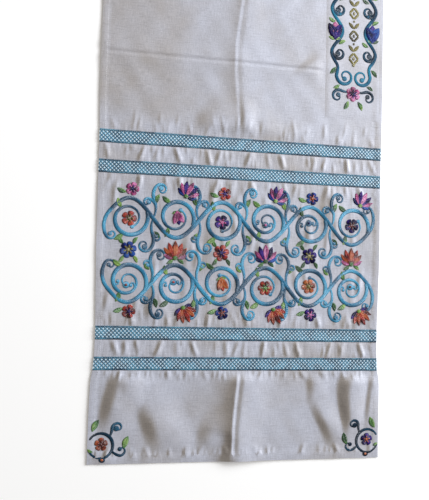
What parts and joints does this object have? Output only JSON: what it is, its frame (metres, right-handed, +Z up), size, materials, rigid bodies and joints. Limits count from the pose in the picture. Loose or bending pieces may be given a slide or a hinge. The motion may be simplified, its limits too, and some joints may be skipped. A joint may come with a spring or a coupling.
{
  "type": "tallit prayer shawl",
  "caption": "Long narrow silk prayer shawl laid out flat, with lattice bands and embroidered panels at both ends and an embroidered neckband on one long edge.",
  "frame": {"origin": "centre of the shawl's bounding box at the underside, where it rests on the surface", "axes": "+Z up out of the cloth, Y along the length with the pictured end at -Y, +X to the long edge that carries the neckband"},
  "size_m": [0.516, 2, 0.0074],
  "materials": {
    "silk": "slubbed silk, soft sheen",
    "lattice_band": "satin-stitched lattice",
    "neckband_silk": "slubbed silk, soft sheen",
    "vine_thread": "rayon embroidery thread, soft gloss",
    "outline_thread": "rayon embroidery thread, soft gloss",
    "leaf_thread": "rayon embroidery thread, soft gloss",
    "red_thread": "rayon embroidery thread, soft gloss",
    "orange_thread": "rayon embroidery thread, soft gloss",
    "pink_thread": "rayon embroidery thread, soft gloss",
    "purple_thread": "rayon embroidery thread, soft gloss",
    "blue_thread": "rayon embroidery thread, soft gloss",
    "gold_thread": "metallic-look embroidery thread",
    "hem_thread": "sewing thread"
  },
  "bodies": {
    "root": {"body_cloth": "silk", "near_band_1": "lattice_band", "near_band_2": "lattice_band", "near_band_3": "lattice_band", "near_band_4": "lattice_band", "far_band_1": "lattice_band", "far_band_2": "lattice_band", "far_band_3": "lattice_band", "far_band_4": "lattice_band", "neckband": "neckband_silk"}
  },
  "joints": []
}
